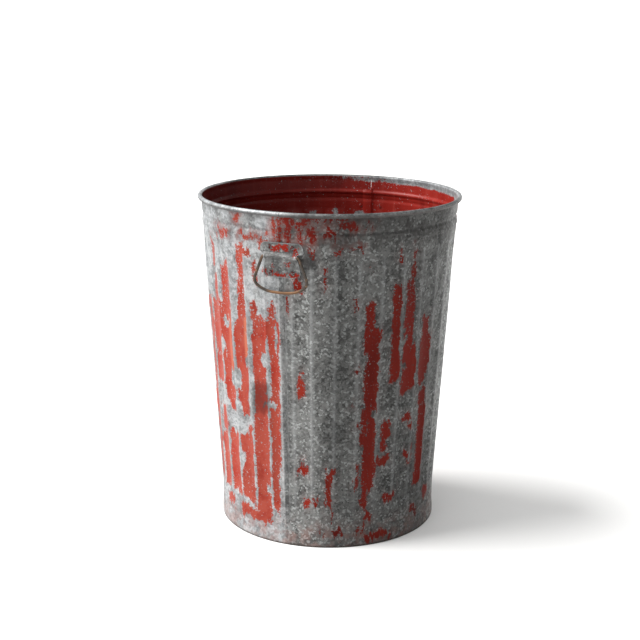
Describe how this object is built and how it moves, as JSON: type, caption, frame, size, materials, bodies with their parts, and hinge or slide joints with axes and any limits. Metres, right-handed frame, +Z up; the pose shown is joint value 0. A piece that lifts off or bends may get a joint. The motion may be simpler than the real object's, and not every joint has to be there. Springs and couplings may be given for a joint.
{
  "type": "open-topped refuse can",
  "caption": "Tapered fluted sheet-metal refuse can, open at the top, with a rolled rim, lock seams and swinging wire bail handles on riveted ears.",
  "frame": {"origin": "on the can's axis at floor level", "axes": "+Z up along the can's axis; the front ear and bail face -Y and the back ones +Y"},
  "size_m": [0.5202, 0.5206, 0.66],
  "materials": {
    "body_sheet": "worn paint over spangled zinc",
    "pan": "dull zinc",
    "rim_wire": "dark",
    "ear": "worn zinc with paint left in the hollows",
    "rivet": "dull",
    "bail": "rusted"
  },
  "bodies": {
    "can": {"body_half_right": "body_sheet", "body_half_left": "body_sheet", "bottom_pan": "pan", "rim_wire": "rim_wire", "front_ear": "ear", "back_ear": "ear", "front_ear_rivet_1": "rivet", "front_ear_rivet_2": "rivet", "front_ear_rivet_3": "rivet", "front_ear_rivet_4": "rivet", "back_ear_rivet_1": "rivet", "back_ear_rivet_2": "rivet", "back_ear_rivet_3": "rivet", "back_ear_rivet_4": "rivet"},
    "front_handle": {"front_bail": "bail"},
    "back_handle": {"back_bail": "bail"}
  },
  "joints": [
    {"name": "front_bail_swing", "type": "hinge", "parent": "can", "child": "front_handle", "pos_m": [0, -0.25171, 0.577], "axis": [-1, 0, 0], "range_deg": [-2, 165]},
    {"name": "back_bail_swing", "type": "hinge", "parent": "can", "child": "back_handle", "pos_m": [0, 0.25171, 0.577], "axis": [1, 0, 0], "range_deg": [-2, 165]}
  ]
}
